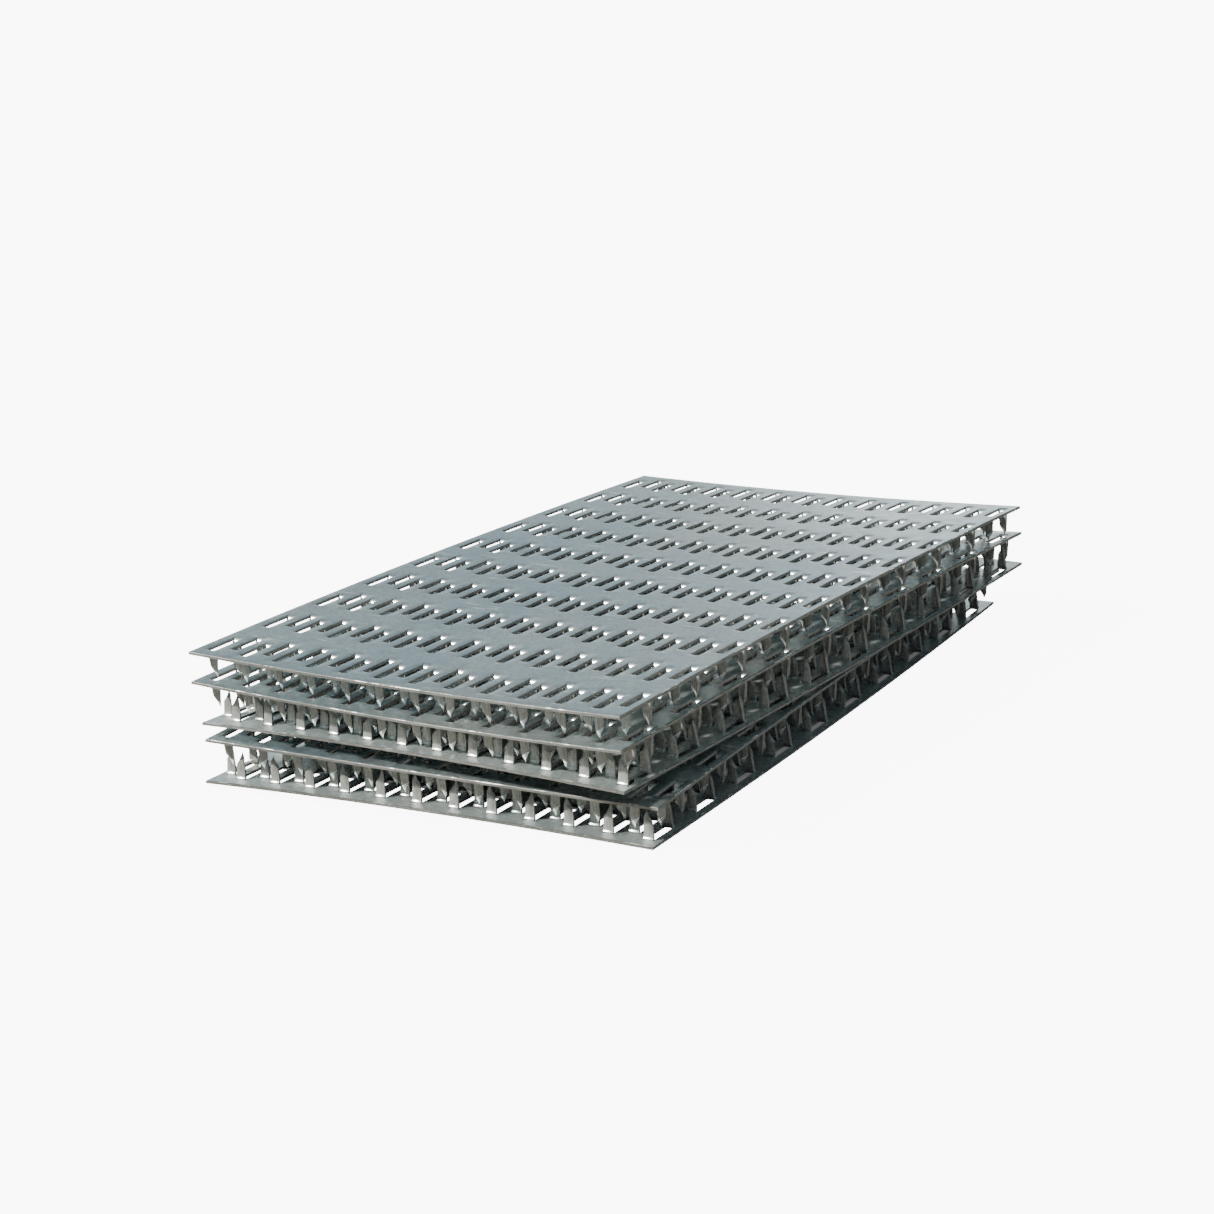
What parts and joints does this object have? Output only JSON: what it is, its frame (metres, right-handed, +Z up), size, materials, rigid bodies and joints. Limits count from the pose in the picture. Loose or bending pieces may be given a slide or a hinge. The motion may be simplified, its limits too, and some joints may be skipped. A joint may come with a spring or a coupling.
{
  "type": "stack of nail plates",
  "caption": "Stack of rectangular punched-tooth nail plates in galvanised sheet, for pressing into timber truss joints; teeth interlock in pairs and each plate lifts off the one below.",
  "frame": {"origin": "middle of the bottom plate's flat underside, on the floor", "axes": "+X across the width of the upper plates, +Y along their length and their slots, +Z up through the stack"},
  "size_m": [0.1738, 0.265, 0.0416],
  "materials": {
    "galvanised_steel": "hot-dip zinc, dull satin with a faint spangle"
  },
  "bodies": {
    "plate_5_bottom": {"nail_plate_5_bottom": "galvanised_steel"},
    "plate_4": {"nail_plate_4": "galvanised_steel"},
    "plate_3": {"nail_plate_3": "galvanised_steel"},
    "plate_2": {"nail_plate_2": "galvanised_steel"},
    "plate_1_top": {"nail_plate_1_top": "galvanised_steel"}
  },
  "joints": [
    {"name": "lift_plate_4", "type": "slide", "parent": "plate_5_bottom", "child": "plate_4", "axis": [0, 0, 1], "range_m": [0, 0.025]},
    {"name": "lift_plate_3", "type": "slide", "parent": "plate_4", "child": "plate_3", "axis": [0, 0, 1], "range_m": [0, 0.025]},
    {"name": "lift_plate_2", "type": "slide", "parent": "plate_3", "child": "plate_2", "axis": [0, 0, 1], "range_m": [0, 0.025]},
    {"name": "lift_plate_1", "type": "slide", "parent": "plate_2", "child": "plate_1_top", "axis": [0, 0, 1], "range_m": [0, 0.025]}
  ]
}
